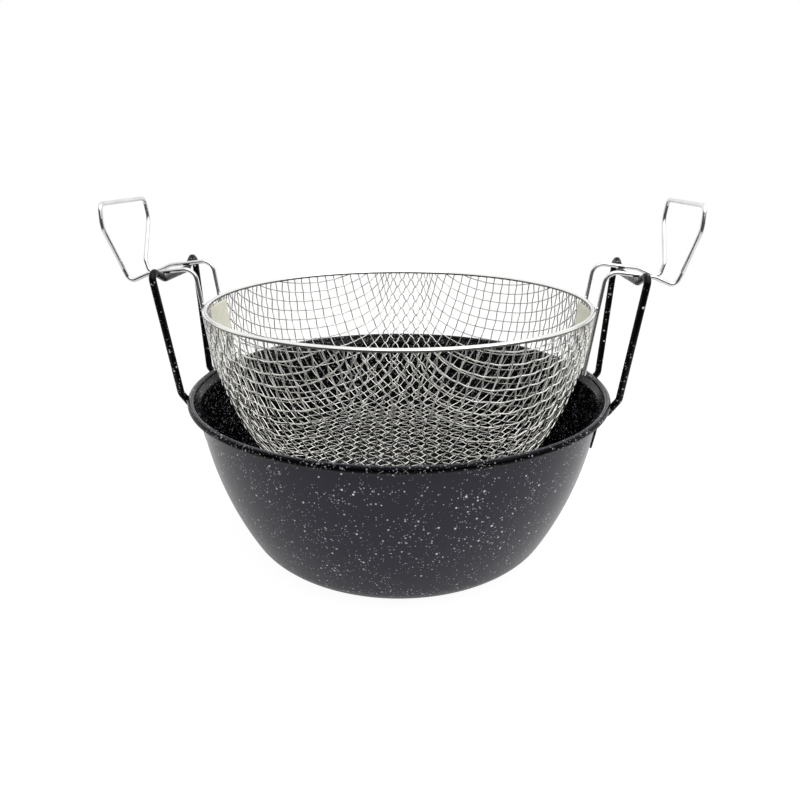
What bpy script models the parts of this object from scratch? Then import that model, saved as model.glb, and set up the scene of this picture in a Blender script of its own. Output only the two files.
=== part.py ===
# Deep fry pot with a wire basket that hangs on the pot's handles to drain.
# Metres, +Z up, front toward -Y, handles on the X axis.
# The origin is the middle of the pot's underside.

import math

import bmesh
import bpy
from mathutils import Matrix, Vector

# Clearance and facets
fit_gap = 0.0003                  # left between pieces that touch
merge_reach = 0.00001
turn_steps = 60                   # facets round the whole pot and basket
corner_steps = 4
wall_steps = 6
bead_steps = 7
crown_steps = 5
plate_steps = 8
plate_rows = 3
bend_step = math.radians(24)      # turn of one facet along a bent wire

# Pot bowl, pressed from sheet with a rolled rim
pot_rim_radius = 0.1400           # to the middle of the rolled rim
pot_depth = 0.1110                # underside to the middle of the rolled rim
pot_sheet = 0.0010
pot_bead_radius = 0.0022
pot_rim_overhang = 0.0046         # wall top to the middle of the rolled rim
pot_rim_flare = 0.0026            # drop of the wall top below the rolled rim
pot_base_inset = 0.0568           # how much narrower the flat base is than the rim
pot_corner_radius = 0.0278
pot_wall_curve = 0.2400

# Plates welded under the rim, one for each pot handle
plate_sheet = 0.0012
plate_drop = 0.0045               # rim to the plate's top edge
plate_height = 0.0255
plate_half_width = 0.0370

# Pot handles, each one bent wire
handle_wire = 0.00225             # radius of the wire
handle_lean = math.radians(4.7)
handle_standoff = 0.0028          # clear space between the rim and the wire's knee
handle_knee_rise = 0.0018
handle_knee_half = 0.0303
handle_knee_bend = 0.0050
handle_tail_drop = 0.0100         # rim to the welded ends
handle_tail_half = 0.0145
handle_ear_rise = 0.0850
handle_ear_half = 0.0407
handle_ear_bend = 0.0045
handle_bar_rise = 0.0764          # rim to the bar that carries the basket
handle_bar_half = 0.0210
handle_bar_bend = 0.0070

# Basket, woven mesh in a folded hoop
basket_clearance = 0.0140         # middle of the pot's rim to the middle of the hoop
basket_depth = 0.1040             # hoop to the underside
basket_base_inset = 0.0570        # how much narrower the flat bottom is than the hoop
basket_corner_radius = 0.0400
basket_wall_curve = 0.1830
mesh_thickness = 0.0018           # two crossing wires
mesh_bar = 0.0050                 # left between two openings of the coarse grid
mesh_columns = 24                 # openings round the basket
mesh_rows = 5                     # openings from its flat bottom to its hoop
mesh_top_band = 0.0040            # plain edge that the hoop holds
mesh_floor_rows = 7               # openings across the flat bottom
mesh_floor_turn = math.radians(45)
mesh_cut_overrun = 0.0030
mesh_flat_limit = math.radians(1)
hoop_sheet = 0.0004
hoop_skirt = 0.0006               # middle of the hoop to its lower edges

# Basket handles, each one bent wire hooked over a pot handle
grip_wire = 0.0014                # radius of the wire
grip_leg_half = 0.0184
grip_tail_drop = 0.0440           # hoop to the welded ends
grip_bend_rise = 0.0240           # hoop to the bend over the pot handle
grip_bend = 0.0075
arm_fall = math.radians(6.6)
arm_past_bar = 0.0105
arm_bend = 0.0100
dip_reach = 0.0247                # bar to the lowest point of the wire
dip_drop = 0.0072
dip_half = 0.0165
dip_bend = 0.0040
grip_lean = math.radians(3.2)
grip_foot_reach = 0.0277
grip_foot_rise = 0.0024
grip_foot_half = 0.0183
grip_foot_bend = 0.0060
grip_shoulder_rise = 0.0295
grip_shoulder_half = 0.0360
grip_shoulder_bend = 0.0120
grip_top_rise = 0.0428
grip_top_half = 0.0334
grip_top_bend = 0.0050

# Tabs inside the mesh, one behind each basket handle
tab_sheet = 0.0008
tab_drop = 0.0024                 # hoop to the tab's top edge
tab_height = 0.0225
tab_half_width = 0.0175


def arc_points(centre, radius, start, end, steps):
    points = []
    for step in range(steps + 1):
        angle = start + (end - start) * step / steps
        points.append(centre + radius * Vector((math.cos(angle), math.sin(angle))))
    return points


def angle_of(vector):
    return math.atan2(vector.y, vector.x)


class Bowl:
    # The outer face of a round bowl, as radius and height: a flat base, a corner arc,
    # and a wall arc that passes through the top point and runs into the corner.

    def __init__(self, top, depth, base_inset, corner_radius, wall_radius, rim_radius):
        self.floor = -depth
        self.corner_radius = corner_radius
        self.wall_radius = wall_radius
        self.corner = Vector((rim_radius - base_inset, corner_radius - depth))
        across = self.corner - top
        inner_radius = wall_radius - corner_radius
        along = (wall_radius**2 - inner_radius**2 + across.length_squared) / (2 * across.length)
        aside = math.sqrt(wall_radius**2 - along**2)
        ahead = across.normalized()
        self.wall = top + along * ahead + aside * Vector((ahead.y, -ahead.x))
        self.joint_angle = angle_of(self.corner - self.wall)
        self.top_angle = angle_of(top - self.wall)
        self.corner_length = corner_radius * (self.joint_angle + math.pi / 2)
        self.length = self.corner_length + wall_radius * (self.top_angle - self.joint_angle)

    def outline(self):
        points = [Vector((0, self.floor))]
        points += arc_points(self.corner, self.corner_radius, -math.pi / 2, self.joint_angle, corner_steps)
        points += arc_points(self.wall, self.wall_radius, self.joint_angle, self.top_angle, wall_steps)[1:]
        return points

    def radius_at(self, height, offset):
        # Radius at a height on the wall, moved square to the wall by the offset.
        reach = self.wall_radius + offset
        return self.wall.x + math.sqrt(reach**2 - (height - self.wall.y)**2)

    def place_at(self, length):
        # Point and outward angle at a length up the outline from the edge of the flat base.
        centre = self.corner
        reach = self.corner_radius
        angle = length / reach - math.pi / 2
        if length > self.corner_length:
            centre = self.wall
            reach = self.wall_radius
            angle = self.joint_angle + (length - self.corner_length) / reach
        return centre + reach * Vector((math.cos(angle), math.sin(angle))), angle


def left_normal(start, end):
    along = (end - start).normalized()
    return Vector((-along.y, along.x))


def offset_line(points, distance):
    # The same line moved to its left by the distance, with mitred corners.
    moved = []
    last = len(points) - 1
    for index, point in enumerate(points):
        before = left_normal(points[max(index - 1, 0)], points[max(index, 1)])
        after = left_normal(points[min(index, last - 1)], points[min(index + 1, last)])
        moved.append(point + (before + after) * (distance / (1 + before.dot(after))))
    return moved


def rounded(corners, bends):
    # A path through the corners, each one rounded to its bend's radius.
    points = [corners[0]]
    for index in range(1, len(corners) - 1):
        corner = corners[index]
        before = corner - corners[index - 1]
        after = corners[index + 1] - corner
        turn = before.angle(after)
        reach = min(bends[index] * math.tan(turn / 2), before.length / 2, after.length / 2)
        radius = reach / math.tan(turn / 2)
        ahead = before.normalized()
        inward = (after - after.dot(ahead) * ahead).normalized()
        centre = corner - reach * ahead + radius * inward
        steps = math.ceil(turn / bend_step)
        for step in range(steps + 1):
            angle = turn * step / steps
            points.append(centre + radius * (math.sin(angle) * ahead - math.cos(angle) * inward))
    points.append(corners[-1])
    return points


def mirrored(corners, bends):
    # The half of a bent wire at +Y, carried on to its mirror image at -Y.
    far_side = [Vector((corner.x, -corner.y, corner.z)) for corner in reversed(corners)]
    return corners + far_side, bends + bends[::-1]


def make_material(name, colour, roughness, metallic):
    material = bpy.data.materials.new(name)
    material.use_nodes = True
    shader = material.node_tree.nodes["Principled BSDF"]
    shader.inputs["Base Color"].default_value = (*colour, 1)
    shader.inputs["Roughness"].default_value = roughness
    shader.inputs["Metallic"].default_value = metallic
    material.diffuse_color = (*colour, 1)
    return material


def add_piece(name, data, material, parent, side=1):
    # A left-hand piece shares its data with the right-hand one, turned half round the axis.
    if not data.materials:
        data.materials.append(material)
    piece = bpy.data.objects.new(name, data)
    piece.parent = parent
    piece.rotation_euler.z = 0 if side > 0 else math.pi
    parts.objects.link(piece)
    return piece


def add_screw(piece, steps, angle):
    screw = piece.modifiers.new("turned", "SCREW")
    screw.axis = "Z"
    screw.angle = angle
    screw.steps = steps
    screw.render_steps = steps
    screw.use_merge_vertices = True
    screw.merge_threshold = merge_reach


def line_mesh(name, points, closed):
    edges = [(index, index + 1) for index in range(len(points) - 1)]
    if closed:
        edges.append((len(points) - 1, 0))
    mesh = bpy.data.meshes.new(name)
    mesh.from_pydata([(point.x, 0, point.y) for point in points], edges, [])
    return mesh


def turned_piece(name, points, closed, material, parent):
    piece = add_piece(name, line_mesh(name, points, closed), material, parent)
    add_screw(piece, turn_steps, 2 * math.pi)
    return piece


def curved_sheet(name, data, half_width, sheet, material, parent, side):
    # A strip bent about the upright axis, thickened outward or, if negative, inward.
    piece = add_piece(name, data, material, parent, side)
    half_angle = math.asin(half_width / data.vertices[0].co.x)
    add_screw(piece, plate_steps, 2 * half_angle)
    piece.rotation_euler.z -= half_angle
    solid = piece.modifiers.new("sheet", "SOLIDIFY")
    solid.thickness = abs(sheet)
    solid.offset = math.copysign(1, sheet)
    return piece


def wire_curve(name, corners, bends, radius, resolution):
    curve = bpy.data.curves.new(name, "CURVE")
    curve.dimensions = "3D"
    curve.bevel_depth = radius
    curve.bevel_resolution = resolution
    curve.use_fill_caps = True
    points = rounded(*mirrored(corners, bends))
    spline = curve.splines.new("POLY")
    spline.points.add(len(points) - 1)
    for spot, point in zip(spline.points, points):
        spot.co = (*point, 1)
    return curve


def make_pot_bowl(bowl, parent, material):
    outer = bowl.outline()
    wall_top = outer[-1]
    bead = Vector((pot_rim_radius, 0))
    middle = wall_top - Vector((pot_sheet / 2, 0))
    flare_angle = angle_of(bead - middle)
    opening = math.asin(pot_sheet / 2 / pot_bead_radius)
    start = flare_angle + math.pi - opening
    end = flare_angle - math.pi + opening
    lip = arc_points(bead, pot_bead_radius, start, end, bead_steps)
    inner = offset_line(outer + lip[-1:], pot_sheet)[:-1]
    inner[0].x = 0
    return turned_piece("pot_bowl", inner + lip + outer[::-1], False, material, parent)


def make_plates(bowl, parent, material):
    points = []
    for row in range(plate_rows + 1):
        height = -plate_drop - plate_height * row / plate_rows
        points.append(Vector((bowl.radius_at(height, fit_gap), height)))
    strip = line_mesh("handle_plate", points, False)
    for name, side in (("handle_plate_right", 1), ("handle_plate_left", -1)):
        curved_sheet(name, strip, plate_half_width, plate_sheet, material, parent, side)


def handle_knee():
    bead_edge = math.sqrt((pot_rim_radius + pot_bead_radius)**2 - handle_knee_half**2)
    return Vector((bead_edge + handle_standoff + handle_wire, handle_knee_half, handle_knee_rise))


def handle_point(half, rise):
    # A point of the pot handle's loop, which leans out from its knees.
    knee = handle_knee()
    return Vector((knee.x + (rise - knee.z) * math.tan(handle_lean), half, rise))


def handle_tail(bowl, half):
    # A point of the welded end, which lies along the plate's outer face.
    radius = bowl.radius_at(-handle_tail_drop, 2 * fit_gap + plate_sheet + handle_wire)
    return Vector((math.sqrt(radius**2 - half**2), half, -handle_tail_drop))


def make_pot_handles(bowl, parent, material):
    corners = [
        handle_tail(bowl, handle_tail_half),
        handle_tail(bowl, handle_knee_half),
        handle_knee(),
        handle_point(handle_ear_half, handle_ear_rise),
        handle_point(handle_bar_half, handle_bar_rise),
    ]
    bends = [0, handle_knee_bend, handle_knee_bend, handle_ear_bend, handle_bar_bend]
    curve = wire_curve("pot_handle", corners, bends, handle_wire, 3)
    add_piece("pot_handle_right", curve, material, parent)
    add_piece("pot_handle_left", curve, material, parent, -1)


def cut_wall_opening(cutters, bowl, row, turn):
    # A block square to the wall, as wide as leaves one bar between it and the next.
    pitch = (bowl.length - mesh_top_band) / mesh_rows
    middle, angle = bowl.place_at(pitch * (row + 1 / 2))
    outward = Vector((math.cos(angle), 0, math.sin(angle)))
    upward = Vector((-math.sin(angle), 0, math.cos(angle)))
    depth = 2 * (mesh_thickness + mesh_cut_overrun)
    for corner in bmesh.ops.create_cube(cutters, size=1)["verts"]:
        place = Vector((middle.x, 0, middle.y))
        place += corner.co.x * depth * outward + corner.co.z * (pitch - mesh_bar) * upward
        half_width = place.x * math.tan(math.pi / mesh_columns) - mesh_bar / 2
        place.y = math.copysign(half_width, corner.co.y)
        corner.co = Matrix.Rotation(turn, 3, "Z") @ place


def cut_floor_openings(cutters, bowl):
    pitch = 2 * bowl.corner.x / mesh_floor_rows
    hole = pitch - mesh_bar
    depth = 2 * (mesh_thickness + mesh_cut_overrun)
    middles = [pitch * (index - (mesh_floor_rows - 1) / 2) for index in range(mesh_floor_rows)]
    for x in middles:
        for y in middles:
            if math.hypot(abs(x) + hole / 2, abs(y) + hole / 2) > bowl.corner.x - mesh_bar / 2:
                continue
            place = Matrix.Translation((x, y, bowl.floor)) @ Matrix.Diagonal((hole, hole, depth, 1))
            bmesh.ops.create_cube(cutters, size=1, matrix=Matrix.Rotation(mesh_floor_turn, 4, "Z") @ place)


def make_mesh_cutters(bowl, parent):
    cutters = bmesh.new()
    for row in range(mesh_rows):
        for column in range(mesh_columns):
            cut_wall_opening(cutters, bowl, row, 2 * math.pi * column / mesh_columns)
    cut_floor_openings(cutters, bowl)
    mesh = bpy.data.meshes.new("mesh_openings")
    cutters.to_mesh(mesh)
    cutters.free()
    block = bpy.data.objects.new("mesh_openings", mesh)
    block.parent = parent
    block.hide_render = True
    block.display_type = "WIRE"
    cutter_collection.objects.link(block)
    return block


def make_basket_mesh(bowl, parent, material):
    # The woven cloth is a sheet here, with a coarse grid of openings.
    outer = bowl.outline()
    inner = offset_line(outer, mesh_thickness)
    inner[0].x = 0
    piece = turned_piece("basket_mesh", inner + outer[::-1], False, material, parent)
    flat = piece.modifiers.new("flat_bottom", "DECIMATE")
    flat.decimate_type = "DISSOLVE"
    flat.angle_limit = mesh_flat_limit
    cut = piece.modifiers.new("openings", "BOOLEAN")
    cut.object = make_mesh_cutters(bowl, parent)


def make_basket_rim(parent, material):
    # A folded strip that covers the top edge of the mesh on both sides.
    centre = Vector((hoop_radius, 0))
    slot = hoop_half - hoop_sheet
    inside = [centre + Vector((slot, -hoop_skirt))]
    inside += arc_points(centre, slot, 0, math.pi, crown_steps)
    inside.append(centre + Vector((-slot, -hoop_skirt)))
    outside = [centre + Vector((-hoop_half, -hoop_skirt))]
    outside += arc_points(centre, hoop_half, math.pi, 0, crown_steps)
    outside.append(centre + Vector((hoop_half, -hoop_skirt)))
    return turned_piece("basket_rim", inside + outside, True, material, parent)


def leg_radius(bowl, height):
    # The legs are straight, clear the hoop's lower edge and touch the mesh below it.
    seat = Vector((hoop_radius + hoop_half, -hoop_skirt))
    reach = fit_gap + grip_wire
    across = seat - bowl.wall
    facing = angle_of(across) - math.acos(bowl.wall_radius / across.length)
    normal = Vector((math.cos(facing), math.sin(facing)))
    return (normal.dot(seat) + reach - normal.y * height) / normal.x


def leg_point(bowl, height):
    radius = leg_radius(bowl, height)
    return Vector((math.sqrt(radius**2 - grip_leg_half**2), grip_leg_half, height))


def arm_height(bowl, x):
    return grip_bend_rise - (x - leg_point(bowl, grip_bend_rise).x) * math.tan(arm_fall)


def make_basket_handles(bowl, parent, material):
    bar = Vector((bar_x, 0, arm_height(bowl, bar_x)))
    knee_x = bar_x + arm_past_bar
    foot = bar + Vector((grip_foot_reach, grip_foot_half, grip_foot_rise))

    def grip_point(half, rise):
        height = bar.z + rise
        return Vector((foot.x + (height - foot.z) * math.tan(grip_lean), half, height))

    corners = [
        leg_point(bowl, -grip_tail_drop),
        leg_point(bowl, grip_bend_rise),
        Vector((knee_x, grip_leg_half, arm_height(bowl, knee_x))),
        bar + Vector((dip_reach, dip_half, -dip_drop)),
        foot,
        grip_point(grip_shoulder_half, grip_shoulder_rise),
        grip_point(grip_top_half, grip_top_rise),
    ]
    bends = [0, grip_bend, arm_bend, dip_bend, grip_foot_bend, grip_shoulder_bend, grip_top_bend]
    curve = wire_curve("basket_handle", corners, bends, grip_wire, 2)
    add_piece("basket_handle_right", curve, material, parent)
    add_piece("basket_handle_left", curve, material, parent, -1)


def make_tabs(bowl, parent, material):
    points = []
    for row in range(plate_rows + 1):
        height = -tab_drop - tab_height * row / plate_rows
        points.append(Vector((bowl.radius_at(height, -mesh_thickness - fit_gap), height)))
    strip = line_mesh("basket_tab", points, False)
    for name, side in (("basket_tab_right", 1), ("basket_tab_left", -1)):
        curved_sheet(name, strip, tab_half_width, -tab_sheet, material, parent, side)


def add_frame(name, height, parent=None):
    frame = bpy.data.objects.new(name, None)
    frame.location.z = height
    frame.parent = parent
    parts.objects.link(frame)
    return frame


for old in list(bpy.data.objects):
    bpy.data.objects.remove(old)

parts = bpy.data.collections.new("fry_pot_with_basket")
bpy.context.scene.collection.children.link(parts)
cutter_collection = bpy.data.collections.new("cutters")
bpy.context.scene.collection.children.link(cutter_collection)

pot_enamel = make_material("pot_enamel", (0.012, 0.012, 0.016), 0.25, 0.0)
handle_enamel = make_material("handle_enamel", (0.008, 0.008, 0.010), 0.30, 0.0)
mesh_steel = make_material("mesh_steel", (0.62, 0.61, 0.55), 0.35, 1.0)
hoop_steel = make_material("hoop_steel", (0.70, 0.70, 0.68), 0.35, 1.0)
grip_steel = make_material("grip_steel", (0.72, 0.72, 0.72), 0.15, 1.0)
tab_steel = make_material("tab_steel", (0.72, 0.70, 0.55), 0.40, 1.0)

# Pot, about the plane of its rim
rim_plane = add_frame("rim_plane", pot_depth)
wall_top = Vector((pot_rim_radius - pot_rim_overhang, -pot_rim_flare))
pot = Bowl(wall_top, pot_depth, pot_base_inset, pot_corner_radius, pot_wall_curve, pot_rim_radius)
make_pot_bowl(pot, rim_plane, pot_enamel)
make_plates(pot, rim_plane, handle_enamel)
make_pot_handles(pot, rim_plane, handle_enamel)

# Basket, about the plane of its hoop, as high as its arms rest on the pot's handles
hoop_radius = pot_rim_radius - basket_clearance
hoop_half = mesh_thickness / 2 + fit_gap + hoop_sheet
mesh_top = Vector((hoop_radius + mesh_thickness / 2, 0))
basket = Bowl(mesh_top, basket_depth, basket_base_inset, basket_corner_radius, basket_wall_curve,
              hoop_radius)
bar_x = handle_point(handle_bar_half, handle_bar_rise).x
arm_on_bar = (handle_wire + fit_gap + grip_wire) / math.cos(arm_fall)
hang_rise = handle_bar_rise + arm_on_bar - arm_height(basket, bar_x)
hoop_plane = add_frame("basket_lift", hang_rise, rim_plane)
make_basket_mesh(basket, hoop_plane, mesh_steel)
make_basket_rim(hoop_plane, hoop_steel)
make_basket_handles(basket, hoop_plane, grip_steel)
make_tabs(basket, hoop_plane, tab_steel)
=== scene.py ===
import math

import bpy
import numpy as np
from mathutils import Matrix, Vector


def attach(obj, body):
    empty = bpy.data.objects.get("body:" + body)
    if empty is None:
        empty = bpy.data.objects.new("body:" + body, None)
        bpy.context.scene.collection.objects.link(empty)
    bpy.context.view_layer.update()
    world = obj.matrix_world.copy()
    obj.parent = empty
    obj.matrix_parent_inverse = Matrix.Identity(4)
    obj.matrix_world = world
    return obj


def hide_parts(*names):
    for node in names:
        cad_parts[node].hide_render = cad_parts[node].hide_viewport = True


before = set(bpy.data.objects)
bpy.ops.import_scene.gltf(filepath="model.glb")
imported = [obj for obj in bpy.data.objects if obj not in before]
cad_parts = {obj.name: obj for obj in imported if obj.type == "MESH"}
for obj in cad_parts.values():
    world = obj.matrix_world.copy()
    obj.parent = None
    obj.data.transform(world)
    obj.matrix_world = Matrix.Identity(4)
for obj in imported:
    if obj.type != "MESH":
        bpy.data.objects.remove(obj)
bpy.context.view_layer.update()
scene = bpy.context.scene

# Camera at the photograph's angle, slightly to the right of the pot's front
cameraSetup = {
    "aim": Vector((0.0006, 0, 0.0996)), "distance": 0.483, "elevation": 19.35, "azimuth": 2.8,
    "focalShare": 685 / 800, "sensor": 36, "clipStart": 0.01,
}


def addCamera(setup):
    camera = bpy.data.cameras.new("photoCamera")
    camera.sensor_width = setup["sensor"]
    camera.lens = setup["focalShare"] * setup["sensor"]
    camera.clip_start = setup["clipStart"]
    holder = bpy.data.objects.new("photoCamera", camera)
    height, turn = math.radians(setup["elevation"]), math.radians(setup["azimuth"])
    level = math.cos(height)
    away = Vector((math.sin(turn) * level, -math.cos(turn) * level, math.sin(height)))
    holder.location = setup["aim"] + setup["distance"] * away
    holder.rotation_euler = (-away).to_track_quat("-Z", "Y").to_euler()
    scene.collection.objects.link(holder)
    scene.camera = holder


addCamera(cameraSetup)
print("camera placed")


# Shader helpers
def newMaterial(name, **constants):
    material = bpy.data.materials.new(name)
    material.use_nodes = True
    tree = material.node_tree
    shader = tree.nodes["Principled BSDF"]
    for label, value in constants.items():
        socket = shader.inputs[label.replace("_", " ")]
        socket.default_value = (*value, 1) if isinstance(value, tuple) else value
    return material, tree, shader


def wire(tree, value, socket):
    # An output socket is linked, a plain value is set
    if isinstance(value, bpy.types.NodeSocket):
        tree.links.new(value, socket)
    else:
        socket.default_value = value


def addNode(tree, kind, settings=None, **inputs):
    # Inputs are named by their labels, with _ for a space
    node = tree.nodes.new(kind)
    for key, value in (settings or {}).items():
        setattr(node, key, value)
    for label, value in inputs.items():
        wire(tree, value, node.inputs[label.replace("_", " ")])
    return node


def mathNode(tree, operation, first, second, clamp=False):
    node = tree.nodes.new("ShaderNodeMath")
    node.operation = operation
    node.use_clamp = clamp
    wire(tree, first, node.inputs[0])
    wire(tree, second, node.inputs[1])
    return node.outputs[0]


def total(tree, first, second, clamp=False):
    return mathNode(tree, "ADD", first, second, clamp)


def difference(tree, first, second, clamp=False):
    return mathNode(tree, "SUBTRACT", first, second, clamp)


def product(tree, first, second, clamp=False):
    return mathNode(tree, "MULTIPLY", first, second, clamp)


def noiseNode(tree, place, scale, detail, **more):
    return addNode(tree, "ShaderNodeTexNoise", Vector=place, Scale=scale, Detail=detail, **more).outputs["Fac"]


def mixNode(tree, share, first, second):
    # Each side is a colour or a socket
    sides = [(*side, 1) if isinstance(side, tuple) else side for side in (first, second)]
    node = addNode(tree, "ShaderNodeMix", {"data_type": "RGBA"}, Factor=share, A=sides[0], B=sides[1])
    return node.outputs["Result"]


def rampNode(tree, share, stops):
    node = addNode(tree, "ShaderNodeValToRGB", Fac=share)
    elements = node.color_ramp.elements
    while len(elements) < len(stops):
        elements.new(0.5)
    for element, (position, colour) in zip(elements, stops):
        element.position = position
        element.color = (*colour, 1)
    return node.outputs["Color"]


def addBump(tree, shader, height, strength, depth):
    bump = addNode(tree, "ShaderNodeBump", Strength=strength, Distance=depth, Height=height)
    wire(tree, bump.outputs["Normal"], shader.inputs["Normal"])


def newGroup(name, inputs, outputs):
    # A shader node group, the sockets that hold its inputs and the sockets of its result
    group = bpy.data.node_groups.new(name, "ShaderNodeTree")
    for way, labels in (("INPUT", inputs), ("OUTPUT", outputs)):
        for label in labels:
            kind = "NodeSocketVector" if label == "Vector" else "NodeSocketFloat"
            group.interface.new_socket(label, in_out=way, socket_type=kind)
    return group, group.nodes.new("NodeGroupInput").outputs, group.nodes.new("NodeGroupOutput").inputs


def useGroup(tree, group, **inputs):
    node = tree.nodes.new("ShaderNodeGroup")
    node.node_tree = group
    for label, value in inputs.items():
        wire(tree, value, node.inputs[label])
    return node.outputs


fleckPattern = {
    "clumpScale": 58.0, "clumpDetail": 3.0, "clumpReach": 4.0,  # where flecks crowd together
    "sizeLeast": 0.45, "edge": 2.4, "brightLeast": 0.35, "brightRange": 0.75,
}


def makeFleckGroup(pattern):
    # Scattered flecks: each one a slice of a small ball, so their sizes differ as on sprayed enamel
    group, given, result = newGroup("enamelFlecks", ["Vector", "Spacing", "Size", "Share", "Clump"], ["Mask"])
    place, spacing = given["Vector"], given["Spacing"]
    density = mathNode(group, "DIVIDE", 1.0, spacing)
    cells = addNode(group, "ShaderNodeTexVoronoi", Vector=place, Scale=density, Randomness=1.0).outputs
    parts = addNode(group, "ShaderNodeSeparateColor", Color=cells["Color"]).outputs
    clumps = noiseNode(group, place, pattern["clumpScale"], pattern["clumpDetail"])
    crowd = product(group, difference(group, clumps, 0.5), given["Clump"])
    limit = total(group, given["Share"], product(group, crowd, pattern["clumpReach"]))
    kept = mathNode(group, "LESS_THAN", parts["Red"], limit)
    reach = mathNode(group, "DIVIDE", given["Size"], spacing)
    reach = product(group, reach, total(group, pattern["sizeLeast"], parts["Green"]))
    inside = difference(group, 1.0, mathNode(group, "DIVIDE", cells["Distance"], reach), clamp=True)
    shape = product(group, product(group, inside, pattern["edge"], clamp=True), kept)
    bright = total(group, pattern["brightLeast"], product(group, parts["Blue"], pattern["brightRange"]))
    wire(group, product(group, shape, bright, clamp=True), result["Mask"])
    return group


metalPattern = {
    "patchDetail": 4.0, "patchRoughness": 0.6, "patchShare": 0.7, "grainDetail": 2.0, "grainShare": 0.3,
    "spotScale": 7.3, "spotDetail": 3.0,
}


def makeDrawnMetalGroup(pattern):
    # Uneven shade, dull patches and fine draw marks of plated wire and strip
    group, given, result = newGroup("drawnMetal", ["Vector", "Patch", "Grain"], ["Shade", "Dull", "Marks"])
    place = given["Vector"]
    patch = noiseNode(group, place, given["Patch"], pattern["patchDetail"], Roughness=pattern["patchRoughness"])
    grain = noiseNode(group, place, given["Grain"], pattern["grainDetail"])
    spotScale = product(group, given["Patch"], pattern["spotScale"])
    spots = noiseNode(group, place, spotScale, pattern["spotDetail"])
    patch, shares = product(group, patch, pattern["patchShare"]), product(group, grain, pattern["grainShare"])
    wire(group, total(group, patch, shares), result["Shade"])
    wire(group, spots, result["Dull"])
    wire(group, grain, result["Marks"])
    return group


flecks = makeFleckGroup(fleckPattern)
drawnMetal = makeDrawnMetalGroup(metalPattern)

enamelFinish = {
    "base": (0.0088, 0.0080, 0.0205), "baseWarm": (0.0142, 0.0108, 0.0210), "fleck": (0.74, 0.74, 0.82),
    "roughness": 0.15, "flecks": 1.0,
    "large": {"Spacing": 0.0030, "Size": 0.00060, "Share": 0.52},
    "small": {"Spacing": 0.0015, "Size": 0.00037, "Share": 0.58},
}
insideFinish = {
    "base": (0.0010, 0.0009, 0.0014), "baseWarm": (0.0016, 0.0014, 0.0018), "fleck": (0.74, 0.74, 0.80),
    "roughness": 0.14, "flecks": 0.66,
    "large": {"Spacing": 0.0029, "Size": 0.00060, "Share": 0.62},
    "small": {"Spacing": 0.0014, "Size": 0.00042, "Share": 0.75},
}
handleFinish = {
    "base": (0.0012, 0.0012, 0.0016), "baseWarm": (0.0022, 0.0020, 0.0024), "fleck": (0.80, 0.80, 0.82),
    "roughness": 0.14, "flecks": 1.0,
    "large": {"Spacing": 0.0036, "Size": 0.00080, "Share": 0.58},
    "small": {"Spacing": 0.0020, "Size": 0.00045, "Share": 0.55},
}
enamelSurface = {
    "refraction": 1.5, "clump": 0.6, "smallLevel": 0.6, "noiseDetail": 3.0,
    "cloudScale": 18.0, "cloudRoughness": 0.08, "fleckRoughness": 0.15,
    "rippleScale": 140.0, "rippleHeight": 0.5, "fleckHeight": 0.35, "bumpStrength": 0.35, "bumpDepth": 0.0002,
}
metalSurface = {"stops": (0.30, 0.52, 0.72), "dullRoughness": 0.22, "bumpStrength": 0.4}


def makeEnamel(name, finish, gloss):
    surface = enamelSurface
    material, tree, shader = newMaterial(name, IOR=surface["refraction"], Specular_IOR_Level=gloss)
    place = addNode(tree, "ShaderNodeTexCoord").outputs["Object"]
    large, small = [
        useGroup(tree, flecks, Vector=place, Clump=surface["clump"], **finish[size])["Mask"]
        for size in ("large", "small")]
    mask = total(tree, large, product(tree, small, surface["smallLevel"]), clamp=True)
    mask = product(tree, mask, finish["flecks"])
    cloud = noiseNode(tree, place, surface["cloudScale"], surface["noiseDetail"])
    ground = mixNode(tree, cloud, finish["base"], finish["baseWarm"])
    wire(tree, mixNode(tree, mask, ground, finish["fleck"]), shader.inputs["Base Color"])
    roughness = total(tree, finish["roughness"], product(tree, cloud, surface["cloudRoughness"]))
    roughness = total(tree, roughness, product(tree, mask, surface["fleckRoughness"]))
    wire(tree, roughness, shader.inputs["Roughness"])
    ripple = noiseNode(tree, place, surface["rippleScale"], surface["noiseDetail"])
    ripple, raised = product(tree, ripple, surface["rippleHeight"]), product(tree, mask, surface["fleckHeight"])
    addBump(tree, shader, total(tree, ripple, raised), surface["bumpStrength"], surface["bumpDepth"])
    return material


def makeMetal(name, dark, light, roughness, patch, grain, bumpDepth, metallic=1.0):
    material, tree, shader = newMaterial(name, Metallic=metallic)
    place = addNode(tree, "ShaderNodeTexCoord").outputs["Object"]
    look = useGroup(tree, drawnMetal, Vector=place, Patch=patch, Grain=grain)
    middle = tuple((a + b) / 2 for a, b in zip(dark, light))
    colour = rampNode(tree, look["Shade"], list(zip(metalSurface["stops"], (dark, middle, light))))
    wire(tree, colour, shader.inputs["Base Color"])
    dull = product(tree, look["Dull"], metalSurface["dullRoughness"])
    wire(tree, total(tree, roughness, dull), shader.inputs["Roughness"])
    addBump(tree, shader, look["Marks"], metalSurface["bumpStrength"], bumpDepth)
    return material


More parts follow.
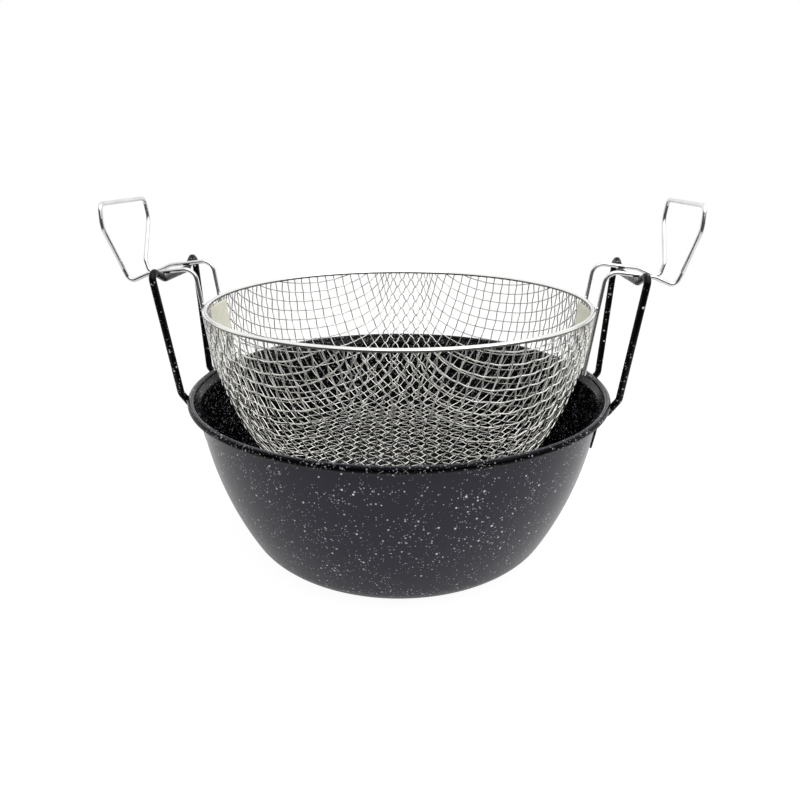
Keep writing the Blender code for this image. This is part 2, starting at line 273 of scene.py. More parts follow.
potEnamel = makeEnamel("potEnamel", enamelFinish, gloss=0.34)
insideEnamel = makeEnamel("insideEnamel", insideFinish, gloss=0.13)
# painted shade: black, barely glossy enamel for the roll's dark band
rollShadeEnamel = makeEnamel("rollShadeEnamel", insideFinish, gloss=0.05)
handleEnamel = makeEnamel("handleEnamel", handleFinish, gloss=0.14)
meshWireMetal = makeMetal(
    "meshWireMetal", dark=(0.66, 0.655, 0.62), light=(0.98, 0.975, 0.94),
    roughness=0.08, patch=90.0, grain=1800.0, bumpDepth=0.00004)
hoopMetal = makeMetal(
    "hoopMetal", dark=(0.84, 0.84, 0.82), light=(0.97, 0.97, 0.95),
    roughness=0.12, patch=70.0, grain=1500.0, bumpDepth=0.00006)
# painted shade: a dark, dull metal along the hoop's lower edges
hoopShadeMetal = makeMetal(
    "hoopShadeMetal", dark=(0.10, 0.10, 0.095), light=(0.30, 0.30, 0.285),
    roughness=0.26, patch=300.0, grain=2500.0, bumpDepth=0.00004)
gripMetal = makeMetal(
    "gripMetal", dark=(0.62, 0.62, 0.62), light=(0.93, 0.93, 0.93),
    roughness=0.06, patch=55.0, grain=1300.0, bumpDepth=0.00002)
tabMetal = makeMetal(
    "tabMetal", dark=(0.96, 0.95, 0.76), light=(0.99, 0.98, 0.85),
    roughness=0.26, patch=80.0, grain=1600.0, bumpDepth=0.000008, metallic=0.3)
print("materials made")


# Shared shape helpers
def arcPoints(centre, radius, start, end, steps):
    angles = np.linspace(start, end, steps + 1)
    return [Vector((centre.x + radius * math.cos(a), centre.y + radius * math.sin(a))) for a in angles]


def angleOf(vector):
    return math.atan2(vector.y, vector.x)


class BowlShape:
    # Outer face of a round bowl as radius and height: flat base, corner arc, wall arc through the top point

    def __init__(self, top, depth, baseRadius, cornerRadius, wallRadius):
        self.depth, self.baseRadius = depth, baseRadius
        self.cornerRadius, self.wallRadius = cornerRadius, wallRadius
        self.corner = Vector((baseRadius, cornerRadius - depth))
        across = self.corner - top
        spread = wallRadius**2 - (wallRadius - cornerRadius)**2 + across.length_squared
        along = spread / (2 * across.length)
        aside = math.sqrt(wallRadius**2 - along**2)
        ahead = across.normalized()
        self.wall = top + along * ahead + aside * Vector((ahead.y, -ahead.x))
        self.jointAngle = angleOf(self.corner - self.wall)
        self.topAngle = angleOf(top - self.wall)

    def outline(self, cornerSteps, wallSteps):
        points = [Vector((0, -self.depth))]
        points += arcPoints(self.corner, self.cornerRadius, -math.pi / 2, self.jointAngle, cornerSteps)
        points += arcPoints(self.wall, self.wallRadius, self.jointAngle, self.topAngle, wallSteps)[1:]
        return points

    def radiusAt(self, height, offset):
        return self.wall.x + math.sqrt((self.wallRadius + offset)**2 - (height - self.wall.y)**2)

    def lengths(self, offset):
        # Length along the meridian to the end of the flat, of the corner and of the wall
        corner = self.baseRadius + (self.cornerRadius + offset) * (self.jointAngle + math.pi / 2)
        wall = corner + (self.wallRadius + offset) * (self.topAngle - self.jointAngle)
        return self.baseRadius, corner, wall

    def along(self, length, offset, shift=0.0):
        # Radius and height at a length along the meridian of one offset, moved outward by the shift
        length, shift = np.asarray(length, float), np.asarray(shift, float)
        flatEnd, cornerEnd, _ = self.lengths(offset)
        cornerTurn = -math.pi / 2 + (length - flatEnd) / (self.cornerRadius + offset)
        wallTurn = self.jointAngle + (length - cornerEnd) / (self.wallRadius + offset)
        cornerReach, wallReach = self.cornerRadius + offset + shift, self.wallRadius + offset + shift
        onFlat, onWall = length < flatEnd, length >= cornerEnd
        radius = np.where(
            onWall, self.wall.x + wallReach * np.cos(wallTurn), self.corner.x + cornerReach * np.cos(cornerTurn))
        height = np.where(
            onWall, self.wall.y + wallReach * np.sin(wallTurn), self.corner.y + cornerReach * np.sin(cornerTurn))
        return np.where(onFlat, length, radius), np.where(onFlat, -self.depth - offset - shift, height)


def offsetLine(points, distance):
    # The same line moved to its left, with mitred corners
    moved, last = [], len(points) - 1
    normal = lambda a, b: Vector((-(b - a).y, (b - a).x)).normalized()
    for index, point in enumerate(points):
        before = normal(points[max(index - 1, 0)], points[max(index, 1)])
        after = normal(points[min(index, last - 1)], points[min(index + 1, last)])
        moved.append(point + (before + after) * (distance / (1 + before.dot(after))))
    return moved


def roundedPath(corners, bends, bendStep):
    # The line through the corners, each one rounded to its bend as far as its neighbours leave room
    points = [corners[0]]
    for index in range(1, len(corners) - 1):
        corner = corners[index]
        before, after = corner - corners[index - 1], corners[index + 1] - corner
        turn = before.angle(after)
        reach = min(bends[index] * math.tan(turn / 2), before.length / 2, after.length / 2)
        radius = reach / math.tan(turn / 2)
        ahead = before.normalized()
        inward = (after - after.dot(ahead) * ahead).normalized()
        centre = corner - reach * ahead + radius * inward
        steps = math.ceil(turn / bendStep)
        for step in range(steps + 1):
            angle = turn * step / steps
            points.append(centre + radius * (math.sin(angle) * ahead - math.cos(angle) * inward))
    points.append(corners[-1])
    return points


def newObject(name, data):
    holder = bpy.data.objects.new(name, data)
    scene.collection.objects.link(holder)
    return holder


def newMesh(name, vertices, edges, faces):
    mesh = bpy.data.meshes.new(name)
    mesh.from_pydata(vertices, edges, faces)
    return mesh


def addPiece(name, mesh, material, body, node):
    mesh.materials.clear()
    mesh.materials.append(material)
    mesh.polygons.foreach_set("use_smooth", [True] * len(mesh.polygons))
    piece = newObject(name, mesh)
    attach(piece, body)
    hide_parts(node)


def addCoats(mesh, materials, indices):
    # Further materials, and the one that each face has
    for material in materials:
        mesh.materials.append(material)
    mesh.polygons.foreach_set("material_index", indices)


def turnedMesh(name, outline, steps, closed, press=None):
    # The outline turned about the upright axis; a point on the axis becomes one pole
    onAxis = 1e-6
    angles = np.arange(steps) * 2 * math.pi / steps
    vertices, rings, faces = [], [], []
    for index, point in enumerate(outline):
        if point.x < onAxis:
            rings.append([len(vertices)] * steps)
            vertices.append((0, 0, point.y))
            continue
        rings.append(list(range(len(vertices), len(vertices) + steps)))
        for angle in angles:
            radius, height = press(index, point, angle) if press else (point.x, point.y)
            vertices.append((radius * math.cos(angle), radius * math.sin(angle), height))
    for index in range(len(outline) if closed else len(outline) - 1):
        lower, upper = rings[index], rings[(index + 1) % len(outline)]
        for step in range(steps):
            follow = (step + 1) % steps
            face = list(dict.fromkeys((lower[step], lower[follow], upper[follow], upper[step])))
            if len(face) > 2:
                faces.append(face)
    mesh = newMesh(name, vertices, [], faces)
    mesh.flip_normals()
    return mesh


def bakeObject(holder):
    # The evaluated object as a plain mesh; the source object goes
    bpy.context.view_layer.update()
    mesh = bpy.data.meshes.new_from_object(holder.evaluated_get(bpy.context.evaluated_depsgraph_get()))
    source = holder.data
    bpy.data.objects.remove(holder)
    if isinstance(source, bpy.types.Curve):
        bpy.data.curves.remove(source)
    return mesh


sides = {"right": 1, "left": -1}
wireDetail = {"resolution": 5, "bendStep": math.radians(6)}
sheetDetail = {"edgeSegments": 3, "edgeLimit": math.radians(50)}


def wireMesh(name, corners, bends, radius, side, height):
    # One bent wire: the half at +Y and its mirror image, turned half round for the left-hand side
    full = corners + [Vector((c.x, -c.y, c.z)) for c in reversed(corners)]
    points = roundedPath(full, bends + bends[::-1], wireDetail["bendStep"])
    curve = bpy.data.curves.new(name, "CURVE")
    curve.dimensions = "3D"
    curve.bevel_depth = radius
    curve.bevel_resolution = wireDetail["resolution"]
    curve.use_fill_caps = True
    spline = curve.splines.new("POLY")
    spline.points.add(len(points) - 1)
    for spot, point in zip(spline.points, points):
        spot.co = (side * point.x, side * point.y, point.z + height, 1)
    return bakeObject(newObject(name, curve))


def sheetMesh(name, shape, offset, sizes, outward, side, height):
    # A strip on one offset of a bowl, given its thickness to the outward side or away from it
    levels = np.linspace(-sizes["drop"], -sizes["drop"] - sizes["height"], sizes["rows"] + 1)
    rows = [(shape.radiusAt(level, offset), level) for level in levels]
    half = math.asin(sizes["halfWidth"] / rows[0][0])
    vertices, faces = [], []
    for radius, level in rows:
        for angle in np.linspace(-half, half, sizes["columns"] + 1):
            vertices.append((side * radius * math.cos(angle), side * radius * math.sin(angle), level + height))
    across = sizes["columns"] + 1
    for row in range(sizes["rows"]):
        for first in range(row * across, row * across + sizes["columns"]):
            faces.append([first, first + across, first + across + 1, first + 1])
    holder = newObject(name, newMesh(name, vertices, [], faces))
    solid = holder.modifiers.new("sheet", "SOLIDIFY")
    solid.thickness = sizes["sheet"]
    solid.offset = outward
    bevel = holder.modifiers.new("edges", "BEVEL")
    bevel.width = sizes["edge"]
    bevel.segments = sheetDetail["edgeSegments"]
    bevel.limit_method = "ANGLE"
    bevel.angle_limit = sheetDetail["edgeLimit"]
    return bakeObject(holder)


# Pot bowl, pressed from sheet with a rolled rim
potBowl = {
    "rimRadius": 0.1400, "depth": 0.1110, "sheet": 0.0010, "bead": 0.0022, "overhang": 0.0046, "flare": 0.0026,
    "baseInset": 0.0568, "corner": 0.0278, "wallCurve": 0.2400,
    "turnSteps": 240, "cornerSteps": 14, "wallSteps": 26,
    "lipSteps": 28, "crownStart": 6, "crownEnd": 11,  # the roll's crown, which keeps the wall's enamel as a painted highlight line, in steps from its inner end
}


def makePotBowl(sizes):
    rim, bead = sizes["depth"], Vector((sizes["rimRadius"], 0))
    wallTop = Vector((sizes["rimRadius"] - sizes["overhang"], -sizes["flare"]))
    baseRadius = sizes["rimRadius"] - sizes["baseInset"]
    shape = BowlShape(wallTop, sizes["depth"], baseRadius, sizes["corner"], sizes["wallCurve"])
    outer = shape.outline(sizes["cornerSteps"], sizes["wallSteps"])
    flareAngle = angleOf(bead - wallTop + Vector((sizes["sheet"] / 2, 0)))
    reach = math.pi - math.asin(sizes["sheet"] / 2 / sizes["bead"])
    lip = arcPoints(bead, sizes["bead"], flareAngle + reach, flareAngle - reach, sizes["lipSteps"])
    inner = offsetLine(outer + lip[-1:], sizes["sheet"])[:-1]
    inner[0].x = 0
    outline = [Vector((point.x, point.y + rim)) for point in inner + lip + outer[::-1]]
    mesh = turnedMesh("potBowl", outline, sizes["turnSteps"], closed=False)
    addPiece("potBowl", mesh, potEnamel, "pot", "pot_bowl")
    # the inside is blacker enamel than the wall's outer face; the roll gets a black, barely glossy coat as painted
    # shade for its dark band, and its crown keeps the wall's glossier, lighter enamel as a painted highlight line
    steps = np.arange(len(mesh.polygons)) // sizes["turnSteps"] - len(inner)
    ends = [steps < sizes["crownStart"], steps < sizes["crownEnd"], steps < sizes["lipSteps"]]
    addCoats(mesh, [insideEnamel, rollShadeEnamel], np.select(ends, [1, 0, 2], 0).astype(np.int32))
    return shape, rim


potShape, rimPlane = makePotBowl(potBowl)
print("pot bowl turned")

# Plates welded under the rim, and the pot's wire handles
fitGap = 0.0003
potPlate = {
    "sheet": 0.0012, "drop": 0.0045, "height": 0.0255, "halfWidth": 0.0370, "edge": 0.0004,
    "rows": 12, "columns": 24,
}
potHandle = {
    "wire": 0.00225, "lean": math.radians(4.7), "standoff": 0.0028,
    "kneeRise": 0.0018, "kneeHalf": 0.0303, "kneeBend": 0.0050, "tailDrop": 0.0100, "tailHalf": 0.0145,
    "earRise": 0.0850, "earHalf": 0.0407, "earBend": 0.0045, "barRise": 0.0764, "barHalf": 0.0210, "barBend": 0.0070,
}


def makePotPlates(sizes):
    for label, side in sides.items():
        mesh = sheetMesh("potPlate", potShape, fitGap, sizes, 1, side, rimPlane)
        addPiece(f"potPlate.{label}", mesh, handleEnamel, "pot", f"handle_plate_{label}")


def handleTail(sizes, half):
    radius = potShape.radiusAt(-sizes["tailDrop"], 2 * fitGap + potPlate["sheet"] + sizes["wire"])
    return Vector((math.sqrt(radius**2 - half**2), half, -sizes["tailDrop"]))


def handleKnee(sizes):
    beadEdge = math.sqrt((potBowl["rimRadius"] + potBowl["bead"])**2 - sizes["kneeHalf"]**2)
    return Vector((beadEdge + sizes["standoff"] + sizes["wire"], sizes["kneeHalf"], sizes["kneeRise"]))


def handlePoint(sizes, place):
    knee, rise = handleKnee(sizes), sizes[place + "Rise"]
    return Vector((knee.x + (rise - knee.z) * math.tan(sizes["lean"]), sizes[place + "Half"], rise))


def makePotHandles(sizes):
    corners = [
        handleTail(sizes, sizes["tailHalf"]), handleTail(sizes, sizes["kneeHalf"]), handleKnee(sizes),
        handlePoint(sizes, "ear"), handlePoint(sizes, "bar"),
    ]
    bends = [0, sizes["kneeBend"], sizes["kneeBend"], sizes["earBend"], sizes["barBend"]]
    for label, side in sides.items():
        mesh = wireMesh("potHandle", corners, bends, sizes["wire"], side, rimPlane)
        addPiece(f"potHandle.{label}", mesh, handleEnamel, "pot", f"pot_handle_{label}")


makePotPlates(potPlate)
makePotHandles(potHandle)
print("pot handles bent")

# Basket: its form, its folded hoop, its handles and its tabs
basketForm = {
    "clearance": 0.0140, "depth": 0.1040, "baseInset": 0.0570, "corner": 0.0400, "wallCurve": 0.1830,
    "thickness": 0.0018,
}
basketHoop = {
    "sheet": 0.0004, "skirt": 0.0006, "turnSteps": 360, "arcSteps": 14,
    "ripple": 0.00012, "bumps": 112, "drift": 0.8, "driftWaves": 5, "archShare": 0.35, "foldLift": 1.5,
    "shadeOutside": 0.0003, "shadeInside": 0.0007,  # heights that the painted shade along the lower edges reaches
}
basketGrip = {
    "wire": 0.00139, "legHalf": 0.0184, "tailDrop": 0.0440, "bendRise": 0.0240, "bend": 0.0075,
    "armFall": math.radians(6.6), "armPastBar": 0.0105, "armBend": 0.0100,
    "dipReach": 0.0247, "dipDrop": 0.0072, "dipHalf": 0.0165, "dipBend": 0.0040,
    "footReach": 0.0277, "footRise": 0.0024, "footHalf": 0.0183, "footBend": 0.0060, "lean": math.radians(3.2),
    "shoulderRise": 0.0295, "shoulderHalf": 0.0360, "shoulderBend": 0.0120,
    "topRise": 0.0428, "topHalf": 0.0334, "topBend": 0.0050,
}
basketTab = {
    "sheet": 0.0008, "drop": 0.0024, "height": 0.0225, "halfWidth": 0.0175, "edge": 0.00025,
    "rows": 10, "columns": 20,
}

hoopRadius = potBowl["rimRadius"] - basketForm["clearance"]
hoopHalf = basketForm["thickness"] / 2 + fitGap + basketHoop["sheet"]
basketShape = BowlShape(
    Vector((hoopRadius + basketForm["thickness"] / 2, 0)), basketForm["depth"],
    hoopRadius - basketForm["baseInset"], basketForm["corner"], basketForm["wallCurve"])


def gripLeg(sizes, height):
    # The legs are straight, clear the hoop's lower edge and touch the mesh below it
    seat = Vector((hoopRadius + hoopHalf, -basketHoop["skirt"]))
    across = seat - basketShape.wall
    facing = angleOf(across) - math.acos(basketShape.wallRadius / across.length)
    normal = Vector((math.cos(facing), math.sin(facing)))
    radius = (normal.dot(seat) + fitGap + sizes["wire"] - normal.y * height) / normal.x
    return Vector((math.sqrt(radius**2 - sizes["legHalf"]**2), sizes["legHalf"], height))


def armHeight(sizes, x):
    return sizes["bendRise"] - (x - gripLeg(sizes, sizes["bendRise"]).x) * math.tan(sizes["armFall"])


barX = handlePoint(potHandle, "bar").x
armOnBar = (potHandle["wire"] + fitGap + basketGrip["wire"]) / math.cos(basketGrip["armFall"])
hoopPlane = rimPlane + potHandle["barRise"] + armOnBar - armHeight(basketGrip, barX)


def makeBasketGrips(sizes):
    bar = Vector((barX, 0, armHeight(sizes, barX)))
    kneeX = barX + sizes["armPastBar"]
    foot = bar + Vector((sizes["footReach"], sizes["footHalf"], sizes["footRise"]))

    def leaning(place):
        height = bar.z + sizes[place + "Rise"]
        return Vector((foot.x + (height - foot.z) * math.tan(sizes["lean"]), sizes[place + "Half"], height))

    corners = [
        gripLeg(sizes, -sizes["tailDrop"]), gripLeg(sizes, sizes["bendRise"]),
        Vector((kneeX, sizes["legHalf"], armHeight(sizes, kneeX))),
        bar + Vector((sizes["dipReach"], sizes["dipHalf"], -sizes["dipDrop"])),
        foot, leaning("shoulder"), leaning("top"),
    ]
    bends = [0] + [sizes[key] for key in ("bend", "armBend", "dipBend", "footBend", "shoulderBend", "topBend")]
    for label, side in sides.items():
        mesh = wireMesh("basketGrip", corners, bends, sizes["wire"], side, hoopPlane)
        addPiece(f"basketGrip.{label}", mesh, gripMetal, "basket", f"basket_handle_{label}")


def makeBasketHoop(sizes):
    centre = Vector((hoopRadius, hoopPlane))

    def foldFace(half):
        # One face of the strip, from its outer edge over the top to its inner edge
        near, far = [centre + Vector((reach, -sizes["skirt"])) for reach in (half, -half)]
        return [near] + arcPoints(centre, half, 0, math.pi, sizes["arcSteps"]) + [far]

    inside, outside = foldFace(hoopHalf - sizes["sheet"]), foldFace(hoopHalf)[::-1]
    outline = inside + outside
    folds = (0, len(inside) - 1, len(inside), len(outline) - 1)

    def pressed(index, point, angle):
        # The strip is pressed in between the wires, most at its lower edges
        wave = sizes["bumps"] * angle + sizes["drift"] * math.sin(sizes["driftWaves"] * angle)
        depth = sizes["ripple"] * (0.5 - 0.5 * math.cos(wave))
        if index in folds:
            return point.x - math.copysign(depth, point.x - hoopRadius), point.y + sizes["foldLift"] * depth
        return point.x - math.copysign(sizes["archShare"] * depth, point.x - hoopRadius), point.y

    mesh = turnedMesh("basketHoop", outline, sizes["turnSteps"], closed=True, press=pressed)
    addPiece("basketHoop", mesh, hoopMetal, "basket", "basket_rim")
    # the strip's lower edges get a dull, dark coat: painted shade where the strip is pressed onto the wires
    dark = []
    for face in mesh.polygons:
        reach = sizes["shadeInside"] if face.center.xy.length < hoopRadius else sizes["shadeOutside"]
        dark.append(int(face.center.z < hoopPlane + reach))
    addCoats(mesh, [hoopShadeMetal], dark)


def makeBasketTabs(sizes):
    offset = -basketForm["thickness"] - fitGap
    for label, side in sides.items():
        mesh = sheetMesh("basketTab", basketShape, offset, sizes, -1, side, hoopPlane)
        addPiece(f"basketTab.{label}", mesh, tabMetal, "basket", f"basket_tab_{label}")


makeBasketGrips(basketGrip)
makeBasketHoop(basketHoop)
makeBasketTabs(basketTab)
print("basket handles, hoop and tabs made")

# Basket cloth: square wire cloth drawn to a bowl. Angles are in degrees from a handle (0) to the back (90).
# The cells stay square round primaryAngle, and shear into tall diamonds in a strip at the front and back.
basketCloth = {
    "wire": 0.00045, "wireSides": 6, "pointsPerCell": 6, "angleSteps": 720, "lengthSteps": 395,
    "endGap": 0.12, "leastSteps": 8, "leastTurn": 1e-3, "leastLength": 1e-5, "seamAngle": 0.2,
    "sway": 0.8, "swayFar": 0.25, "swayStart": 6.0, "swayEnd": 14.0,  # degrees from the front and back
    "pitch": 0.00705, "flatAngle": 45.0, "primaryAngle": 54.5,  # flat floor, and where the cells stay square
    "column": 0.0072, "columnGrowth": 4.0, "row": 0.0120, "count": 19.0,  # the strip's diamonds
    "squeeze": 1.3, "squeezeFall": 25.0, "squeezeSoft": 6,  # and those crowded at its edges
    "squeezeStart": 5.0, "squeezeEnd": 13.0, "middleHalf": 5.0,  # degrees from the front and back
    "dip": 6.7, "dipFall": 55.0, "dipLeast": 4.0, "dipSoft": 3, "soft": 0.25,  # where level threads leave it
    "bow": 1.95e-5, "bowGrowth": 8e-9, "bowRim": 1.25, "bowFall": 10.5, "bowLeast": 0.5, "bowSoft": 12,  # their sag
    "sideCount": 18.2, "sideRow": 0.0135, "sideSkew": 0.38,  # below the handles
    "settleStart": 0.050, "settleEnd": 0.150,  # from the flat floor's cloth to the wall's
}


def smoothStep(value, start, end):
    value = np.clip((value - start) / (end - start), 0, 1)
    return value * value * (3 - 2 * value)


def softMost(value, least, sharpness):
    # The larger of the two, with a rounded change from one to the other
    return least + np.logaddexp(0, (value - least) * sharpness) / sharpness


def settledShare(cloth, length):
    return smoothStep(length, cloth["settleStart"], cloth["settleEnd"])


def clothNumbers(cloth, angle, length, radius, rimLength):
    # The two thread numbers at a place on the quarter: whole numbers lie on a thread
    pitch, primary = cloth["pitch"], cloth["primaryAngle"]
    flatAcross = length * np.cos(np.radians(angle - cloth["flatAngle"])) / pitch
    flatUp = length * np.sin(np.radians(angle - cloth["flatAngle"])) / pitch
    below = rimLength - length
    column = cloth["column"] * (1 + cloth["columnGrowth"] * below)  # the strip opens toward its foot
    # from the back to where the cells are square
    half = 90 - primary
    fromBack = np.clip(90 - angle, 0, half)
    count = cloth["count"] - below / cloth["row"]
    squeeze = softMost(cloth["squeeze"] - cloth["squeezeFall"] * below, 0, cloth["squeezeSoft"])
    columns = np.radians(fromBack) * radius / column
    columns = columns + squeeze * smoothStep(fromBack, cloth["squeezeStart"], cloth["squeezeEnd"])
    dip = softMost(cloth["dip"] - cloth["dipFall"] * below, cloth["dipLeast"], cloth["dipSoft"])
    sag = softMost(cloth["bowRim"] - cloth["bowFall"] * below, cloth["bowLeast"], cloth["bowSoft"]) / pitch
    fromSquare = half - fromBack
    level = dip - (cloth["bow"] * fromSquare**2 + cloth["bowGrowth"] * fromSquare**4) * sag
    excess = cloth["soft"] * np.logaddexp(0, (columns - level) / cloth["soft"])
    backAcross = count + columns - excess * smoothStep(fromBack, 0, cloth["middleHalf"])
    backUp = count - columns
    # from there to the handle
    share = np.clip(1 - angle / primary, 0, 1)
    squareAcross = count + dip
    squareUp = count - np.radians(half) * radius / column - squeeze
    side = cloth["sideCount"] - below / cloth["sideRow"]
    sideAcross = squareAcross - (squareAcross - side) * share**2
    sideUp = squareUp - (side + squareUp) * (share + cloth["sideSkew"] * (share * share - share))
    back, settled = angle > primary, settledShare(cloth, length)
    across = flatAcross * (1 - settled) + np.where(back, backAcross, sideAcross) * settled
    up = flatUp * (1 - settled) + np.where(back, backUp, sideUp) * settled
    return across, up


def sampled(cloth, numbers, *lines):
    # Points at even shares of a cell along a thread, with its two ends
    rising, perCell, gap = 1e-9, cloth["pointsPerCell"], cloth["endGap"]
    numbers = np.maximum.accumulate(numbers + np.arange(len(numbers)) * rising)
    inner = np.arange(math.floor(numbers[0] * perCell) + 1, math.ceil(numbers[-1] * perCell)) / perCell
    inner = inner[(inner - numbers[0] > gap) & (numbers[-1] - inner > gap)]
    grid = np.concatenate([numbers[:1], inner, numbers[-1:]])
    return [np.interp(grid, numbers, line) for line in lines] + [grid]


def swayed(cloth, angle, length, other):
    # A wire runs steeper between two crossings and steps sideways over each of them
    step = np.gradient(angle, other) * settledShare(cloth, length)
    away = smoothStep(90 - angle, cloth["swayStart"], cloth["swayEnd"])
    sway = cloth["sway"] + (cloth["swayFar"] - cloth["sway"]) * away
    return angle + sway / (2 * math.pi) * np.sin(2 * math.pi * other) * step


def threadRun(cloth, numbers, angle, length):
    # One stretch of a thread as angle, length and its number on the threads that it crosses
    angle, length, other = sampled(cloth, numbers, angle, length)
    return [swayed(cloth, angle, length, other), length, other]


def makeClothThreads(cloth):
    # Every thread of one of the two sets, as lists of angle, length and how far it stands out
    offset = -basketForm["thickness"] / 2
    rimLength = basketShape.lengths(offset)[2]
    angles = np.linspace(0, 90, cloth["angleSteps"] + 1)
    lengths = np.linspace(0, rimLength, cloth["lengthSteps"] + 1)
    angleGrid, lengthGrid = np.meshgrid(angles, lengths, indexing="ij")
    radii = basketShape.along(lengthGrid, offset)[0]
    across, up = clothNumbers(cloth, angleGrid, lengthGrid, radii, rimLength)
    crossing = lambda own, values, places: np.interp(own, values, places, left=np.nan, right=np.nan)

    def acrossRuns(own):
        # Followed from angle to angle: the lengths at which the thread crosses them
        line = np.array([crossing(own, across[k], lengths) for k in range(len(angles))])
        inside = np.flatnonzero(~np.isnan(line))
        found = []
        for run in np.split(inside, np.flatnonzero(np.diff(inside) > 1) + 1):
            if len(run) >= cloth["leastSteps"]:
                other = np.array([np.interp(line[k], lengths, up[k]) for k in run])
                found.append(threadRun(cloth, other, angles[run], line[run]))
        return found

    def upRun(own):
        # Followed from length to length: the angles at which the thread crosses them
        line = np.array([crossing(own, up[:, k], angles) for k in range(1, len(lengths))])
        inside = np.flatnonzero(~np.isnan(line))
        if len(inside) < cloth["leastSteps"]:
            return None
        other = np.array([np.interp(line[k], angles, across[:, k + 1]) for k in inside])
        return threadRun(cloth, other, line[inside], lengths[inside + 1])

    threads = []
    for own in range(int(rimLength / cloth["pitch"]) + 1):
        sign = -1 if own % 2 else 1
        back, side = upRun(own), upRun(-own)
        for middle in acrossRuns(own) if own else [None]:
            # the stretches beyond the handle and beyond the back belong to the same wire
            joined = []
            if side is not None and (middle is None or middle[0][0] < cloth["seamAngle"]):
                joined.append([-side[0][::-1], side[1][::-1], side[2][::-1]])
            if middle is not None:
                joined.append(middle)
            if back is not None and (middle is None or middle[0][-1] > 90 - cloth["seamAngle"]):
                joined.append([180 - back[0], back[1], back[2]])
            angle, length, other = [np.concatenate(rows) for rows in zip(*joined)]
            moved = np.abs(np.diff(angle)) > cloth["leastTurn"]
            moved = np.concatenate([[True], moved | (np.abs(np.diff(length)) > cloth["leastLength"])])
            angle, length, stand = angle[moved], length[moved], sign * np.cos(math.pi * other[moved])
            threads.append([angle, length, stand])
            if own:
                threads.append([angle + 180, length, stand])
    return threads, offset


def threadTree(name, cloth, material):
    # Geometry nodes: lines to round wire
    tree = bpy.data.node_groups.new(name, "GeometryNodeTree")
    newSocket = lambda label, way, kind: tree.interface.new_socket(label, in_out=way, socket_type=kind)
    newSocket("Geometry", "INPUT", "NodeSocketGeometry")
    radiusInput = newSocket("Wire radius", "INPUT", "NodeSocketFloat")
    sidesInput = newSocket("Wire sides", "INPUT", "NodeSocketInt")
    newSocket("Geometry", "OUTPUT", "NodeSocketGeometry")
    given = tree.nodes.new("NodeGroupInput").outputs
    line = addNode(tree, "GeometryNodeMeshToCurve", Mesh=given["Geometry"]).outputs["Curve"]
    ring = addNode(
        tree, "GeometryNodeCurvePrimitiveCircle", Resolution=given["Wire sides"], Radius=given["Wire radius"])
    tube = addNode(
        tree, "GeometryNodeCurveToMesh", Curve=line, Profile_Curve=ring.outputs["Curve"], Fill_Caps=True)
    soft = addNode(tree, "GeometryNodeSetShadeSmooth", Geometry=tube.outputs["Mesh"])
    real = addNode(tree, "GeometryNodeRealizeInstances", Geometry=soft.outputs["Geometry"])
    coat = addNode(tree, "GeometryNodeSetMaterial", Geometry=real.outputs["Geometry"], Material=material)
    wire(tree, coat.outputs["Geometry"], tree.nodes.new("NodeGroupOutput").inputs["Geometry"])
    return tree, {radiusInput.identifier: cloth["wire"], sidesInput.identifier: cloth["wireSides"]}


def makeBasketCloth(cloth):
    threads, offset = makeClothThreads(cloth)
    tree, inputs = threadTree("wovenThreads", cloth, meshWireMetal)
    crimp = basketForm["thickness"] / 2 - cloth["wire"]
    for label, mirrored in (("warp", False), ("weft", True)):
        vertices, edges = [], []
        for angle, length, stand in threads:
            # the second set is the mirror image of the first and passes on its other side
            turn = np.radians(180 - angle if mirrored else angle)
            radius, height = basketShape.along(length, offset, crimp * (-stand if mirrored else stand))
            first = len(vertices)
            vertices += list(zip(radius * np.cos(turn), radius * np.sin(turn), height + hoopPlane))
            edges += [(first + k, first + k + 1) for k in range(len(turn) - 1)]
        holder = newObject(label, newMesh(label, vertices, edges, []))
        modifier = holder.modifiers.new("threads", "NODES")
        modifier.node_group = tree
        for identifier, value in inputs.items():
            modifier[identifier] = value
        mesh = bakeObject(holder)
        print(label, len(threads), "threads,", sum(len(face.vertices) - 2 for face in mesh.polygons), "triangles")
        addPiece(f"basketCloth.{label}", mesh, meshWireMetal, "basket", "basket_mesh")


makeBasketCloth(basketCloth)
print("basket cloth woven")

# Floor, soft light and a white background
studio = {
    "floorGap": 0.0002, "floorSide": 0.45, "floorFront": 0.30, "floorBack": 3.0,
    "floorColour": (0.86, 0.86, 0.86), "floorRoughness": 0.9,
    "floorGlow": 0.86, "floorGloss": 0.20, "glowLevel": 1.10,  # how white the camera and a reflection see it
    "ambient": 0.62, "keyPower": 18.0, "keySize": 2.5, "keyPlace": (0.55, -0.65, 1.4), "keyAim": (0, 0, 0.1),
    "roomLevel": 0.08, "roomStart": -0.20, "roomEnd": 0.30,  # the dim room in front, by -Y of a direction
    "cardLow": 0.32, "cardHigh": 0.60,  # the white above it starts between these heights of a direction
}


def seenBy(tree, camera, reflection):
    # A level for what the camera and glass see, and one for a reflection
    path = addNode(tree, "ShaderNodeLightPath").outputs
    direct = mathNode(tree, "MAXIMUM", path["Is Camera Ray"], path["Is Transmission Ray"])
    direct = product(tree, direct, camera)
    return mathNode(tree, "MAXIMUM", direct, product(tree, path["Is Glossy Ray"], reflection))


def risingShare(tree, value, start, end):
    smooth = {"interpolation_type": "SMOOTHSTEP"}
    return addNode(tree, "ShaderNodeMapRange", smooth, Value=value, From_Min=start, From_Max=end).outputs[0]


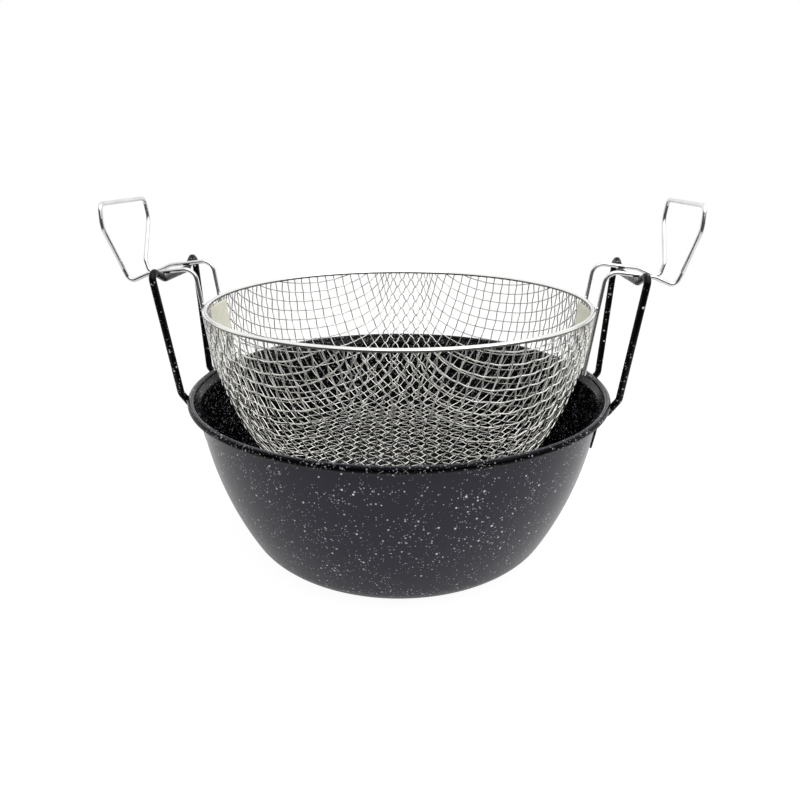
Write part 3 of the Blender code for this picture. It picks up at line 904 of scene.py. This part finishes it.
def makeFloor(setup):
    side, front, back = setup["floorSide"], -setup["floorFront"], setup["floorBack"]
    corners = [(-side, front, 0), (side, front, 0), (side, back, 0), (-side, back, 0)]
    mesh = newMesh("floor", corners, [], [(0, 1, 2, 3)])
    material, tree, shader = newMaterial(
        "floorPaper", Base_Color=setup["floorColour"], Roughness=setup["floorRoughness"], Specular_IOR_Level=0.0)
    glow = addNode(tree, "ShaderNodeEmission", Strength=setup["glowLevel"])
    mix = addNode(tree, "ShaderNodeMixShader", Fac=seenBy(tree, setup["floorGlow"], setup["floorGloss"]))
    tree.links.new(shader.outputs["BSDF"], mix.inputs[1])
    tree.links.new(glow.outputs["Emission"], mix.inputs[2])
    tree.links.new(mix.outputs["Shader"], tree.nodes["Material Output"].inputs["Surface"])
    mesh.materials.append(material)
    floor = newObject("floor", mesh)
    floor.location.z = -setup["floorGap"]


def makeWorld(setup):
    world = bpy.data.worlds.new("studioWorld")
    scene.world = world
    world.use_nodes = True
    tree = world.node_tree
    background = tree.nodes["Background"].inputs
    background["Color"].default_value = (1, 1, 1, 1)
    place = addNode(tree, "ShaderNodeTexCoord").outputs["Generated"]
    direction = addNode(tree, "ShaderNodeSeparateXYZ", Vector=place).outputs
    front = risingShare(tree, product(tree, direction["Y"], -1.0), setup["roomStart"], setup["roomEnd"])
    low = difference(tree, 1.0, risingShare(tree, direction["Z"], setup["cardLow"], setup["cardHigh"]))
    white = difference(tree, 1.0, product(tree, product(tree, front, low), 1 - setup["roomLevel"]))
    bounced = product(tree, addNode(tree, "ShaderNodeLightPath").outputs["Is Diffuse Ray"], setup["ambient"])
    wire(tree, mathNode(tree, "MAXIMUM", seenBy(tree, 1.0, white), bounced), background["Strength"])


def makeKeyLight(setup):
    key = bpy.data.lights.new("keyLight", "AREA")
    key.energy = setup["keyPower"]
    key.shape = "DISK"
    key.size = setup["keySize"]
    lamp = newObject("keyLight", key)
    lamp.location = setup["keyPlace"]
    lamp.rotation_euler = (Vector(setup["keyAim"]) - lamp.location).to_track_quat("-Z", "Y").to_euler()


makeFloor(studio)
makeWorld(studio)
makeKeyLight(studio)
scene.view_settings.view_transform = "Standard"
print("studio set")
